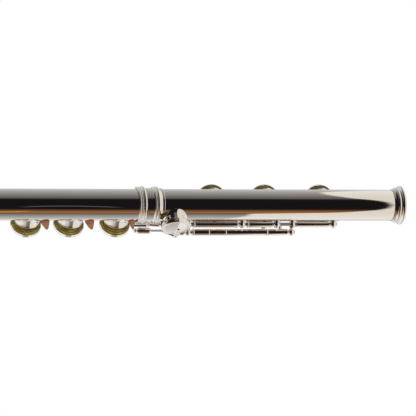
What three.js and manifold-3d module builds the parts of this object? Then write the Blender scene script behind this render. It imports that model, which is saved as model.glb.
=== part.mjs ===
// Concert flute with a low-B foot joint, as an assembly of its real pieces.
// Millimetres. The bore runs along X: the crown is at the -X end, the foot's open end at +X, and the body's key cups face up (+Z).
// Angles round the tube are in degrees from +Y towards +Z, so 90 is the top line of the body keys.
import * as THREE from "three";
import { mergeVertices } from "three/addons/utils/BufferGeometryUtils.js";
import Module from "manifold-3d";

const wasm = await Module();
wasm.setup();

// ---------- driving dimensions ----------
const TUBE_R = 9.9; // outside radius of body and foot tubes
const BORE_R = 9.45; // 18.9 mm cylindrical bore
const RIM = 13.0; // height of every tone hole rim above the tube's axis
const TUBE_SEG = 24;
const CUP_SEG = 16;
const FOOT_END = 175.0; // x of the foot's open end; x = 0 is the mouth of the foot's receiver
const BODY_TOP = -303.0; // where the body tube ends inside the barrel
const BARREL_TOP = -350.0;
const HEAD_TENON = -308.3; // end of the head joint's tenon, 5 mm pulled out
const EMBOUCHURE = -474.0;
const CROWN_END = -533.0;

const MAIN = { phi: 148, r: 14.2 }; // main stack hinge line
const TRILL = { phi: 172, r: 14.4 }; // trill hinge line
const THUMB = { phi: 318, r: 14.4 };
const GSHARP = { phi: 314, r: 14.2 };
const FOOT_IN = { phi: 75, r: 13.2 }; // inner foot hinge line
const FOOT_OUT = { phi: 75, r: 18.8 }; // outer foot hinge line

const STEEL_R = 1.0; // pivot steels
const HINGE_OR = 2.05; // key hinge tubing
const HINGE_IR = 1.2;

const OPEN_BODY = 12; // degrees a body key stands open
const OPEN_FOOT = 10;

// ---------- helpers ----------
const RAD = Math.PI / 180;
const at = (phi, r) => new THREE.Vector3(0, r * Math.cos(phi * RAD), r * Math.sin(phi * RAD));

function solid(geometry) {
  const g = (geometry.index ? geometry.toNonIndexed() : geometry.clone());
  g.deleteAttribute("normal");
  g.deleteAttribute("uv");
  const m = mergeVertices(g, 1e-4);
  const src = m.index.array, tri = [];
  for (let i = 0; i < src.length; i += 3)
    if (src[i] !== src[i + 1] && src[i + 1] !== src[i + 2] && src[i] !== src[i + 2])
      tri.push(src[i], src[i + 1], src[i + 2]);
  const make = (t) => new wasm.Manifold(new wasm.Mesh({ numProp: 3, vertProperties: new Float32Array(m.attributes.position.array), triVerts: new Uint32Array(t) }));
  let s = make(tri);
  if (s.volume() < 0) {
    for (let i = 0; i < tri.length; i += 3) [tri[i + 1], tri[i + 2]] = [tri[i + 2], tri[i + 1]];
    s = make(tri);
  }
  return s;
}

function geometryOf(s) {
  const mesh = s.getMesh(), n = mesh.numProp;
  const v = new Float32Array(mesh.numVert * 3);
  for (let i = 0; i < mesh.numVert; i++) for (let k = 0; k < 3; k++) v[i * 3 + k] = mesh.vertProperties[i * n + k];
  const g = new THREE.BufferGeometry();
  g.setAttribute("position", new THREE.BufferAttribute(v, 3));
  g.setIndex(new THREE.BufferAttribute(new Uint32Array(mesh.triVerts), 1));
  g.computeVertexNormals();
  return g;
}

const union = (...parts) => parts.flat().reduce((a, b) => a.add(b));
const cut = (a, ...tools) => tools.flat().reduce((s, t) => s.subtract(t), a);

// Profile of [x, r] points turned about the X axis.
function turned(points, seg, phase = 0) {
  const g = new THREE.LatheGeometry(points.map(([x, r]) => new THREE.Vector2(Math.max(r, 0), x)), seg);
  g.rotateY(phase);
  g.rotateZ(-Math.PI / 2);
  return solid(g);
}

// A ring-shaped profile that closes on itself.
const ring = (points, seg) => turned([...points, points[0]], seg);

// Cylinder or cone between two points.
function bar(a, b, ra, rb, seg) {
  const A = new THREE.Vector3(...a), B = new THREE.Vector3(...b);
  const d = B.clone().sub(A);
  const g = new THREE.CylinderGeometry(rb, ra, d.length(), seg);
  g.translate(0, d.length() / 2, 0);
  g.applyQuaternion(new THREE.Quaternion().setFromUnitVectors(new THREE.Vector3(0, 1, 0), d.normalize()));
  g.translate(A.x, A.y, A.z);
  return solid(g);
}

function ball(p, r, w = 8, h = 5) {
  const g = new THREE.SphereGeometry(r, w, h);
  g.rotateZ(Math.PI / 2);
  g.translate(p[0], p[1], p[2]);
  return solid(g);
}

// Frame at station x whose third axis points outward at angle phi.
function stand(x, phi) {
  const w = at(phi, 1), u = new THREE.Vector3(1, 0, 0), v = new THREE.Vector3().crossVectors(w, u);
  return new THREE.Matrix4().makeBasis(u, v, w).setPosition(x, 0, 0);
}

// Profile of [r, height above the axis] points turned about the radial line at (x, phi).
function cupTurned(points, x, phi, seg) {
  const g = new THREE.LatheGeometry(points.map(([r, h]) => new THREE.Vector2(r, h)), seg);
  g.rotateX(Math.PI / 2); // lathe axis Y becomes Z
  g.applyMatrix4(stand(x, phi));
  return solid(g);
}

// Polygon of [y, z] points as wide as x0 to x1.
function slab(points, x0, x1) {
  const g = new THREE.ExtrudeGeometry(new THREE.Shape(points.map(([y, z]) => new THREE.Vector2(y, z))), { depth: x1 - x0, bevelEnabled: false });
  g.applyMatrix4(new THREE.Matrix4().makeBasis(new THREE.Vector3(0, 1, 0), new THREE.Vector3(0, 0, 1), new THREE.Vector3(1, 0, 0)).setPosition(x0, 0, 0));
  return solid(g);
}

// A strip of changing width through [y, z, halfwidth] stations, as wide as x0 to x1.
function strip(stations, x0, x1) {
  const left = [], right = [];
  stations.forEach(([y, z, h], i) => {
    const a = stations[Math.max(i - 1, 0)], b = stations[Math.min(i + 1, stations.length - 1)];
    const t = new THREE.Vector2(b[0] - a[0], b[1] - a[1]).normalize();
    left.push([y - t.y * h, z + t.x * h]);
    right.unshift([y + t.y * h, z - t.x * h]);
  });
  return slab([...left, ...right], x0, x1);
}

// Flat plate drawn as [u, v] points in the plane at height h over (x, phi).
function plate(points, x, phi, h, thickness, tilt = 0, lean = 0) {
  const g = new THREE.ExtrudeGeometry(new THREE.Shape(points.map(([u, v]) => new THREE.Vector2(u, v))), { depth: thickness, bevelEnabled: false });
  g.rotateY(tilt);
  g.rotateX(lean * RAD);
  g.translate(0, 0, h);
  g.applyMatrix4(stand(x, phi));
  return solid(g);
}

// Curved strap soldered along the tube.
function strap(x0, x1, phi, half, r0 = TUBE_R + 0.12, r1 = TUBE_R + 1.0, steps = 3) {
  const pts = [];
  for (let i = 0; i <= steps; i++) { const a = (phi - half + (2 * half * i) / steps) * RAD; pts.push([r1 * Math.cos(a), r1 * Math.sin(a)]); }
  for (let i = steps; i >= 0; i--) { const a = (phi - half + (2 * half * i) / steps) * RAD; pts.push([r0 * Math.cos(a), r0 * Math.sin(a)]); }
  return slab(pts, x0, x1);
}

// Post with a ball head bored for its steel.
function post(x, line, boreR = STEEL_R + 0.18, ballR = 2.55, from = TUBE_R + 0.6) {
  const c = at(line.phi, line.r), f = at(line.phi, from);
  const body = union(bar([x, f.y, f.z], [x, c.y, c.z], 1.75, 1.15, 6), ball([x, c.y, c.z], ballR));
  return [body, bar([x - 4, c.y, c.z], [x + 4, c.y, c.z], boreR, boreR, 8)];
}
const withPosts = (base, posts) => cut(union(base, posts.map((p) => p[0])), posts.map((p) => p[1]));

const oval = (a, b, n, u = 0, v = 0) => Array.from({ length: n }, (_, i) => [u + a * Math.cos((2 * Math.PI * i) / n), v + b * Math.sin((2 * Math.PI * i) / n)]);

// ---------- materials ----------
const silver = () => new THREE.MeshStandardMaterial({ color: 0xd9d6d0, metalness: 1, roughness: 0.12 });
const steel = () => new THREE.MeshStandardMaterial({ color: 0x8e8a86, metalness: 1, roughness: 0.3 });
const skin = () => new THREE.MeshStandardMaterial({ color: 0x8a7a2c, metalness: 0, roughness: 0.55 });
const cork = () => new THREE.MeshStandardMaterial({ color: 0xb27c5c, metalness: 0, roughness: 0.85 });

const flute = new THREE.Group();
const headJoint = new THREE.Group(), bodyJoint = new THREE.Group(), footJoint = new THREE.Group();
flute.add(headJoint, bodyJoint, footJoint);

function piece(parent, name, s, material) {
  const mesh = new THREE.Mesh(geometryOf(s), material);
  mesh.name = name;
  parent.add(mesh);
  return mesh;
}

// ---------- tone holes ----------
// x, angle, hole radius, cup radius
const HOLES = {
  e: { x: -11.0, phi: 90, r: 7.1, cup: 9.7 },
  f: { x: -40.6, phi: 90, r: 7.1, cup: 9.7 },
  f_sharp: { x: -68.0, phi: 90, r: 7.1, cup: 9.7 },
  g: { x: -98.4, phi: 90, r: 6.9, cup: 9.5 },
  g_vent: { x: -123.0, phi: 90, r: 6.7, cup: 9.0 },
  a: { x: -146.5, phi: 90, r: 6.7, cup: 9.0 },
  b_flat: { x: -169.0, phi: 90, r: 6.6, cup: 8.9 },
  b: { x: -191.0, phi: 90, r: 6.6, cup: 8.9 },
  c: { x: -212.0, phi: 262, r: 6.2, cup: 8.4 },
  g_sharp: { x: -123.0, phi: 14, r: 6.0, cup: 8.2 },
  c_sharp: { x: -237.0, phi: 90, r: 3.4, cup: 5.4 },
  d_trill: { x: -252.0, phi: 112, r: 3.6, cup: 5.6 },
  d_sharp_trill: { x: -266.0, phi: 112, r: 3.6, cup: 5.6 },
};
const FOOT_HOLES = {
  d_sharp: { x: 24.0, phi: 25, r: 6.1, cup: 9.0 },
  d: { x: 53.2, phi: 161, r: 6.4, cup: 10.2 },
  c_sharp: { x: 88.1, phi: 161, r: 6.4, cup: 10.2 },
  c: { x: 124.8, phi: 161, r: 6.4, cup: 10.2 },
};

function tubeWithHoles(x0, x1, holes) {
  let s = turned([[x0, 0], [x0, TUBE_R], [x1, TUBE_R], [x1, 0]], TUBE_SEG);
  for (const h of Object.values(holes)) s = s.add(cupTurned([[0, 5], [h.r + 0.5, 5], [h.r + 0.5, RIM], [0, RIM]], h.x, h.phi, h.r > 5 ? 12 : 8));
  for (const h of Object.values(holes)) s = s.subtract(cupTurned([[0, 0.5], [h.r, 0.5], [h.r, RIM + 2], [0, RIM + 2]], h.x, h.phi, h.r > 5 ? 12 : 8));
  return s.subtract(turned([[x0 - 1, 0], [x0 - 1, BORE_R], [x1 + 1, BORE_R], [x1 + 1, 0]], TUBE_SEG));
}

// ---------- head joint ----------
{
  const outer = [[CROWN_END + 17.5, 8.95], [-505, 8.98], [-400, 9.75], [BARREL_TOP - 2, 9.85], [HEAD_TENON, 9.85]];
  const inner = outer.map(([x, r]) => [x, r - 0.45]).reverse();
  const tube = ring([...outer, ...inner], 28);
  // embouchure opening
  const hole = new THREE.CylinderGeometry(6.1, 6.1, 14, 16);
  hole.scale(1, 1, 5.2 / 6.1);
  hole.rotateX(Math.PI / 2);
  hole.translate(EMBOUCHURE, 0, 12);
  const holeSolid = solid(hole);
  piece(headJoint, "head_tube", tube.subtract(holeSolid), silver());

  // lip plate and riser: a curved plate that stands off the tube on a short chimney
  const up = [[-33, 10.0], [-24, 11.7], [-14, 13.3], [-6, 14.3], [6, 14.3], [14, 13.3], [24, 11.7], [33, 10.0]];
  const shell = ring([...up.map(([x, r]) => [EMBOUCHURE + x, r + 1.0]), ...up.map(([x, r]) => [EMBOUCHURE + x, r]).reverse()], 32);
  const outline = new THREE.ExtrudeGeometry(new THREE.Shape(oval(31.5, 12.6, 24).map(([u, v]) => new THREE.Vector2(u, v))), { depth: 16, bevelEnabled: false });
  outline.translate(EMBOUCHURE, 0.6, 2);
  const riserGeo = new THREE.CylinderGeometry(7.6, 7.6, 5.4, 16);
  riserGeo.scale(1, 1, 6.6 / 7.6);
  riserGeo.rotateX(Math.PI / 2);
  riserGeo.translate(EMBOUCHURE, 0, 9.6 + 2.7);
  let lip = shell.intersect(solid(outline)).add(solid(riserGeo));
  lip = cut(lip, turned([[EMBOUCHURE - 40, 0], [EMBOUCHURE - 40, 9.55], [EMBOUCHURE + 40, 9.9], [EMBOUCHURE + 40, 0]], 28), holeSolid);
  piece(headJoint, "lip_plate", lip, silver());
}

// crown, and the stopper that it draws along the bore
const crownGroup = new THREE.Group(), stopperGroup = new THREE.Group();
headJoint.add(crownGroup, stopperGroup);
{
  const x = CROWN_END;
  piece(crownGroup, "crown", ring([[x, 1.9], [x, 8.2], [x + 1.2, 9.7], [x + 3.6, 10.15], [x + 6.4, 9.4], [x + 13, 9.35], [x + 15, 10.1], [x + 17.2, 9.7], [x + 17.2, 8.3], [x + 22, 8.3], [x + 22, 7.5], [x + 4.5, 7.5], [x + 4.5, 3.4], [x + 13, 3.4], [x + 13, 1.9]], 20), silver());
  piece(stopperGroup, "stopper_rod", turned([[-524, 0], [-524, 1.65], [-508, 1.65], [-508, 6.6], [-506.4, 6.6], [-506.4, 1.65], [-491.6, 1.65], [-491.6, 8.1], [-490.4, 8.1], [-490.4, 0]], 14), silver());
  piece(stopperGroup, "stopper_cork", ring([[-506, 2.0], [-506, 8.3], [-492, 8.35], [-492, 2.0]], 16), cork());
}

// ---------- body joint ----------
piece(bodyJoint, "body_tube", tubeWithHoles(BODY_TOP, 14.0, HOLES), silver());
{
  const b = BARREL_TOP;
  piece(bodyJoint, "barrel", ring([[b, 10.1], [b, 11.6], [b + 1.6, 12.3], [b + 3.6, 11.8], [b + 4.4, 11.1], [b + 42, 11.1], [b + 43, 11.5], [b + 44, 11.1], [b + 45.6, 11.7], [b + 48.4, 10.6], [b + 48.4, 10.1]], 24), silver());
}

// ribs and posts
const FROM_TRILL = TUBE_R + 0.6;
piece(bodyJoint, "main_rib", withPosts(union(strap(-276, -2.2, 163, 17, TUBE_R + 0.12, TUBE_R + 0.95)), [
  post(-4.6, MAIN, undefined, 2.35), post(-57.4, MAIN), post(-111.4, MAIN), post(-203.4, MAIN), post(-243.4, MAIN),
  post(-273, TRILL), post(-203.4, TRILL, HINGE_OR + 0.4, 3.05), post(-111.4, TRILL, HINGE_OR + 0.4, 3.05), post(-22.5, TRILL),
]), silver());
piece(bodyJoint, "thumb_rib", withPosts(strap(-226, -170, THUMB.phi, 13), [post(-223, THUMB), post(-173, THUMB)]), silver());
piece(bodyJoint, "g_sharp_rib", withPosts(strap(-156, -105, GSHARP.phi, 13), [post(-153, GSHARP), post(-108, GSHARP)]), silver());

function steelBar(parent, name, line, x0, x1) {
  const c = at(line.phi, line.r);
  piece(parent, name, bar([x0, c.y, c.z], [x1, c.y, c.z], STEEL_R, STEEL_R, 10), steel());
}
steelBar(bodyJoint, "right_hand_steel", MAIN, -111.0, -2.9);
steelBar(bodyJoint, "left_hand_steel", MAIN, -245.4, -111.8);
steelBar(bodyJoint, "thumb_steel", THUMB, -225, -171);
steelBar(bodyJoint, "g_sharp_steel", GSHARP, -155, -106);

// ---------- keys ----------
const cupSolid = (h) => {
  const c = h.cup, i = c - 0.5;
  return cupTurned([[0, RIM + 2.75], [i, RIM + 2.75], [i, RIM + 0.8], [c, RIM + 0.8], [c, RIM + 3.1], [c - 0.5, RIM + 3.5], [c - 1.7, RIM + 3.3], [0, RIM + 3.8]], h.x, h.phi, h.cup > 7 ? CUP_SEG : 12);
};
const padSolid = (h) => {
  const p = h.cup - 0.7;
  return cupTurned([[0, RIM + 0.06], [p - 0.35, RIM + 0.06], [p, RIM + 0.5], [p, RIM + 2.5], [0, RIM + 2.5]], h.x, h.phi, h.cup > 7 ? CUP_SEG : 12);
};
// tube on a hinge line
function hinge(line, x0, x1, or = HINGE_OR, ir = HINGE_IR) {
  const c = at(line.phi, line.r);
  const t = turned([[x0, 0], [x0, or], [x1, or], [x1, 0]], 12);
  const b = turned([[x0 - 1, 0], [x0 - 1, ir], [x1 + 1, ir], [x1 + 1, 0]], 12);
  return { tube: t.translate([0, c.y, c.z]), bore: b.translate([0, c.y, c.z]) };
}
// arm from a hinge line up to a cup's rim and over its back
function arm(line, h, x = h.x, reach = 0.15, w = 1.5) {
  const a = at(line.phi, line.r);
  const side = Math.sin((line.phi - h.phi) * RAD) > 0 ? 1 : -1; // cup side nearest the hinge
  const n = at(h.phi, 1), t = at(h.phi + 90 * side, 1);
  const p = (r, up) => [n.y * (RIM + up) + t.y * r, n.z * (RIM + up) + t.z * r];
  const shoulder = p(h.cup + 0.9, 2.0), edge = p(h.cup - 0.4, 3.6), tip = p(h.cup * reach, 4.1);
  return strip([[a.y, a.z, 1.5], [...shoulder, 1.15], [...edge, 0.75], [...tip, 0.45]], x - w, x + w);
}

// A key or lever: everything that turns together about one line, standing open by `open` degrees about +X.
function key(parent, name, line, parts, bores, open, extras) {
  const c = at(line.phi, line.r), g = new THREE.Group();
  g.position.set(0, c.y, c.z);
  g.rotation.x = open * RAD;
  parent.add(g);
  const put = (n, s, m) => piece(g, n, s.translate([0, -c.y, -c.z]), m);
  put(name, bores.length ? cut(union(parts), bores) : union(parts), silver());
  for (const [n, s, m] of extras) put(n, s, m);
  return g;
}

const H = HOLES, F = FOOT_HOLES;
const up = OPEN_BODY, upSmall = 10;
{
  const stackKey = (name, holes, x0, x1, open, more = []) => {
    const t = hinge(MAIN, x0, x1);
    key(bodyJoint, name, MAIN, [t.tube, ...holes.flatMap(([, h]) => [cupSolid(h), arm(MAIN, h)]), ...more], [t.bore], open, holes.map(([p, h]) => [p, padSolid(h), skin()]));
  };
  stackKey("d_key", [["d_key_pad", H.e]], -26.6, -7.3, up);
  stackKey("e_key", [["e_key_pad", H.f]], -54.5, -27.1, up);
  stackKey("f_key", [["f_key_pad", H.f_sharp]], -85.0, -60.3, up);
  stackKey("f_sharp_key", [["f_sharp_key_pad", H.g]], -108.5, -85.6, up);
  stackKey("g_key", [["g_key_lower_pad", H.g_vent], ["g_key_upper_pad", H.a]], -158.2, -114.3, up);
  stackKey("b_flat_key", [["b_flat_key_pad", H.b_flat]], -179.5, -158.8, up);
  stackKey("a_key", [["a_key_pad", H.b]], -200.4, -180.1, up);
  // small top cup with the first finger's touch on the same tube
  const finger = { x: -214.5, phi: 90, cup: 6.6 };
  const touch = cupTurned([[0, RIM + 1.9], [6.4, RIM + 1.9], [6.4, RIM + 2.9], [5.6, RIM + 3.3], [0, RIM + 3.0]], finger.x, finger.phi, 18);
  stackKey("c_sharp_key", [["c_sharp_key_pad", H.c_sharp]], -240.4, -206.4, upSmall, [touch, arm(MAIN, finger, finger.x, 0.3)]);
}
{
  // the two trill keys share one line: the D sharp key is the steel, and the D key is the tube round it.
  // Their touches stand outside the line, so that pressing one lifts its cup.
  const c = at(TRILL.phi, TRILL.r);
  const touchPlate = (x) => plate([[-3.4, -24.4], [3.4, -24.4], [4.4, -21.6], [4.0, -18.4], [2.0, -15.9], [-2.0, -15.9], [-4.0, -18.4], [-4.4, -21.6]], x, 90, 6.8, 1.3);
  const reachArm = (x) => strip([[c.y, c.z, 1.5], [-17.6, 3.4, 1.1], [-19.3, 7.1, 0.8]], x - 1.3, x + 1.3);
  const t = hinge(TRILL, -258.8, -53.0);
  key(bodyJoint, "d_trill_key", TRILL, [t.tube, cupSolid(H.d_trill), arm(TRILL, H.d_trill, H.d_trill.x, 0.15, 1.2), touchPlate(-57.4), reachArm(-57.4)], [t.bore], 0,
    [["d_trill_pad", padSolid(H.d_trill), skin()]]);
  const core = bar([-274.5, c.y, c.z], [-21.2, c.y, c.z], STEEL_R, STEEL_R, 10);
  const collars = [[-270.2, -259.4], [-52.4, -25.4]].map(([a, b]) => bar([a, c.y, c.z], [b, c.y, c.z], HINGE_OR, HINGE_OR, 12));
  key(bodyJoint, "d_sharp_trill_key", TRILL, [core, ...collars, cupSolid(H.d_sharp_trill), arm(TRILL, H.d_sharp_trill, H.d_sharp_trill.x, 0.15, 1.2), touchPlate(-28.4), reachArm(-28.4)], [], 0,
    [["d_sharp_trill_pad", padSolid(H.d_sharp_trill), skin()]]);
}
{
  // cork wedges standing on the tube between the right hand cups, pointed end outward
  const wedge = (name, x, w, d0, d1) => {
    const m = stand(x, 52), u = new THREE.Vector3(), v = new THREE.Vector3(), n = new THREE.Vector3();
    m.extractBasis(u, v, n);
    const outline = [[-1, 6.5], [1, 6.5], [1, 10.2], [0.84, 13.2], [0.62, 15.5], [0.36, 15.6], [-0.14, 14.1], [-0.68, 12.2], [-1, 10.4]];
    const g = new THREE.ExtrudeGeometry(new THREE.Shape(outline.map(([a, h]) => new THREE.Vector2(a * w, h))), { depth: d1 - d0, bevelEnabled: false });
    g.applyMatrix4(new THREE.Matrix4().makeBasis(u, n, v.clone().negate()).setPosition(x - v.x * d0, -v.y * d0, -v.z * d0));
    piece(bodyJoint, name, solid(g).subtract(turned([[x - 20, 0], [x - 20, TUBE_R + 0.15], [x + 20, TUBE_R + 0.15], [x + 20, 0]], TUBE_SEG)), cork());
  };
  wedge("cork_wedge_upper", -57.5, 2.75, 0.8, 5.6);
  wedge("cork_wedge_middle", -29.0, 2.75, 0.8, 5.6);
  wedge("cork_wedge_lower", -2.3, 2.1, 0.8, 3.0);
}
{
  const t = hinge(GSHARP, -150.2, -110.8);
  const lever = plate([[-9, -3.6], [4, -4.2], [10, -3.0], [12.5, 0.4], [10, 3.4], [2, 4.0], [-9, 3.0]], -148, 356, RIM + 3.4, 1.3);
  const g = at(GSHARP.phi, GSHARP.r), q = at(350, RIM + 4.0);
  const leverArm = strip([[g.y, g.z, 1.5], [at(330, 16.4).y, at(330, 16.4).z, 1.2], [q.y, q.z, 0.6]], -149, -145.6);
  // the cup lifts as the touch goes down, so the touch is on the other side of the hinge from the cup
  const tail = at(296, 17.6);
  const gTouch = plate(oval(10.5, 4.2, 18), -141, 296, 16.0, 1.3);
  const gArm = strip([[g.y, g.z, 1.5], [tail.y * 0.98, tail.z * 0.98, 0.7]], -146, -142.8);
  key(bodyJoint, "g_sharp_key", GSHARP, [t.tube, cupSolid(H.g_sharp), arm(GSHARP, H.g_sharp), gTouch, gArm], [t.bore], 0, [["g_sharp_pad", padSolid(H.g_sharp), skin()]]);
}
{
  const tb = hinge(THUMB, -219.8, -190.2), tf = hinge(THUMB, -189.6, -176.0);
  const g = at(THUMB.phi, THUMB.r);
  const thumbArm = (x) => strip([[g.y, g.z, 1.5], [at(295, 17.0).y, at(295, 17.0).z, 1.0], [at(275, RIM + 3.4).y, at(275, RIM + 3.4).z, 0.6]], x - 1.3, x + 1.3);
  const thumbPlate = (x, a, b) => plate(oval(a, b, 18, 0, 0), x, 268, RIM + 2.6, 1.3);
  key(bodyJoint, "thumb_b_key", THUMB, [tb.tube, cupSolid(H.c), arm(THUMB, H.c), thumbPlate(-196.2, 5.6, 7.2), thumbArm(-194.0)], [tb.bore], 9, [["thumb_key_pad", padSolid(H.c), skin()]]);
  key(bodyJoint, "thumb_b_flat_key", THUMB, [tf.tube, thumbPlate(-183.4, 5.6, 7.6), thumbArm(-183.0)], [tf.bore], 9, []);
}

// ---------- foot joint ----------
{
  piece(footJoint, "foot_tube", tubeWithHoles(14.4, FOOT_END - 5.6, FOOT_HOLES), silver());
  // receiver: two beads at the mouth, a plain sleeve, two beads where it meets the foot tube
  piece(footJoint, "foot_receiver", ring([[0, 10.12], [0, 11.0], [0.6, 11.4], [1.3, 10.8], [1.9, 11.2], [2.6, 10.75], [3.4, 11.75], [4.3, 11.6], [5.1, 10.5], [9.9, 10.5], [10.7, 11.35], [11.6, 10.85], [12.7, 11.55], [13.8, 10.5], [16.3, 10.5], [16.6, 10.3], [16.6, 10.12]], 24), silver());
  const e = FOOT_END;
  piece(footJoint, "foot_end_ring", ring([[e, 9.5], [e, 11.6], [e - 0.8, 12.35], [e - 1.9, 12.2], [e - 2.8, 11.3], [e - 4.4, 11.2], [e - 5.6, 10.4], [e - 7.4, 10.05], [e - 5.3, 10.05], [e - 5.3, 9.5]], 24), silver());

  const dbl = (x) => [post(x, FOOT_IN, undefined, 2.4), post(x, FOOT_OUT, undefined, 2.3, FOOT_IN.r)];
  piece(footJoint, "foot_rib", withPosts(strap(16.9, 134, 79, 10), [post(18.2, FOOT_IN, undefined, 2.2), ...dbl(35.4), post(70.5, FOOT_IN), post(93.4, FOOT_IN), ...dbl(103.6), post(130.8, FOOT_IN)]), silver());
  steelBar(footJoint, "foot_inner_steel", FOOT_IN, 16.2, 132.4);
}
{
  const footKey = (name, line, x0, x1, parts, open, extras = []) => {
    const t = hinge(line, x0, x1);
    return key(footJoint, name, line, [t.tube, ...parts], [t.bore], open, extras);
  };
  const i = at(FOOT_IN.phi, FOOT_IN.r), o = at(FOOT_OUT.phi, FOOT_OUT.r);
  const q = (x, phi, r) => { const p = at(phi, r); return [x, p.y, p.z]; };
  // D sharp: touch on one side of the steel, cup on the other
  const dTouch = plate([[-6.0, -2.6], [-4.6, -3.6], [1.6, -3.5], [3.4, -2.8], [5.8, -1.8], [6.0, 2.0], [4.4, 2.9], [-4.8, 2.9], [-6.0, 2.2]], 5.4, 94, 16.4, 1.3, 0, -34);
  const dArm = union(bar(q(21.6, 84, 15.4), q(10.6, 95, 17.0), 1.25, 1.0, 8), strip([[i.y, i.z, 1.5], [at(84, 15.4).y, at(84, 15.4).z, 1.1]], 20.8, 23.0));
  footKey("d_sharp_key", FOOT_IN, 20.7, 32.7, [cupSolid(F.d_sharp), arm(FOOT_IN, F.d_sharp, 26.0), dTouch, dArm], 0, [["d_sharp_pad", padSolid(F.d_sharp), skin()]]);
  // C sharp: cup and touch on one tube
  const cTouch = plate([[-5.6, -1.5], [3.4, -1.7], [5.8, -0.8], [5.8, 2.8], [-4.6, 2.8]], 26.8, 106, 15.1, 1.1, 0, -44);
  const cArm = union(bar(q(39.6, 92, 15.6), q(30.4, 103, 15.7), 1.2, 0.95, 8), strip([[i.y, i.z, 1.5], [at(92, 15.6).y, at(92, 15.6).z, 1.1]], 38.4, 41.0));
  footKey("c_sharp_foot_key", FOOT_IN, 38.0, 67.6, [cupSolid(F.d), arm(FOOT_IN, F.d), cTouch, cArm], -OPEN_FOOT, [["c_sharp_foot_pad", padSolid(F.d), skin()]]);
  footKey("low_c_key", FOOT_IN, 73.4, 90.6, [cupSolid(F.c_sharp), arm(FOOT_IN, F.c_sharp, 86.6)], -OPEN_FOOT, [["low_c_pad", padSolid(F.c_sharp), skin()]]);
  const bTab = union(strip([[i.y, i.z, 1.5], [at(92, 15.2).y, at(92, 15.2).z, 1.1]], 106.8, 109.4), bar(q(108.4, 92, 15.2), q(96.4, 94, 15.4), 1.1, 1.0, 8));
  footKey("low_b_key", FOOT_IN, 106.4, 127.9, [cupSolid(F.c), arm(FOOT_IN, F.c), bTab], -OPEN_FOOT, [["low_b_pad", padSolid(F.c), skin()]]);

  // levers on the outer line: the low C lever is the tube, the low B lever is the steel inside it
  const pin = (phi, r) => union(bar(q(21.4, phi, r), q(2.8, phi, r), 0.7, 0.7, 8), bar(q(4.2, phi, r), q(2.6, phi, r), 1.35, 1.35, 8));
  const kicker = (x) => strip([[o.y, o.z, 1.5], [at(86, 19.2).y, at(86, 19.2).z, 1.0], [at(98, 18.0).y, at(98, 18.0).z, 0.8]], x - 1.2, x + 1.2);
  const lc = footKey("low_c_lever", FOOT_OUT, 38.1, 87.9, [
    strip([[o.y, o.z, 1.5], [at(84, 20.6).y, at(84, 20.6).z, 1.1]], 38.4, 41.0),
    bar(q(39.6, 84, 20.6), q(20.6, 109, 21.2), 1.2, 1.0, 8), pin(109, 21.2), kicker(86.4),
  ], 0);
  const t = [ball(q(28.8, 75, FOOT_OUT.r), 2.45, 10, 8), bar(q(26.0, 75, FOOT_OUT.r), q(105.6, 75, FOOT_OUT.r), STEEL_R, STEEL_R, 10), bar(q(88.3, 75, FOOT_OUT.r), q(101.0, 75, FOOT_OUT.r), HINGE_OR, HINGE_OR, 12), bar(q(28.8, 75, FOOT_OUT.r), q(32.8, 75, FOOT_OUT.r), HINGE_OR, HINGE_OR, 12)];
  const lb = key(footJoint, "low_b_lever", FOOT_OUT, [...t,
    strip([[o.y, o.z, 1.5], [at(79, 22.4).y, at(79, 22.4).z, 1.0]], 27.0, 29.6),
    bar(q(28.4, 79, 22.4), q(20.6, 95.5, 22.5), 1.1, 1.0, 8), pin(95.5, 22.5), kicker(97.6),
  ], [], 0, []);
  // rollers turn on the pins at the levers' ends
  for (const [n, g, phi, r] of [["low_c_roller", lc, 109, 21.2], ["low_b_roller", lb, 95.5, 22.5]]) {
    const c = at(phi, r);
    piece(g, n, ring([[4.6, 0.95], [4.6, 1.75], [5.3, 2.0], [12.2, 2.0], [13.0, 1.75], [13.0, 0.95]], 12).translate([0, c.y - o.y, c.z - o.z]), silver());
  }
}

// stand the part on z = 0 with its middle over the origin
flute.updateMatrixWorld(true);
const box = new THREE.Box3().setFromObject(flute, true);
const centre = box.getCenter(new THREE.Vector3());
flute.position.set(-centre.x, -centre.y, -box.min.z);

export default flute;
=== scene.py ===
import math

import bmesh
import bpy
from mathutils import Matrix, Vector


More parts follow.
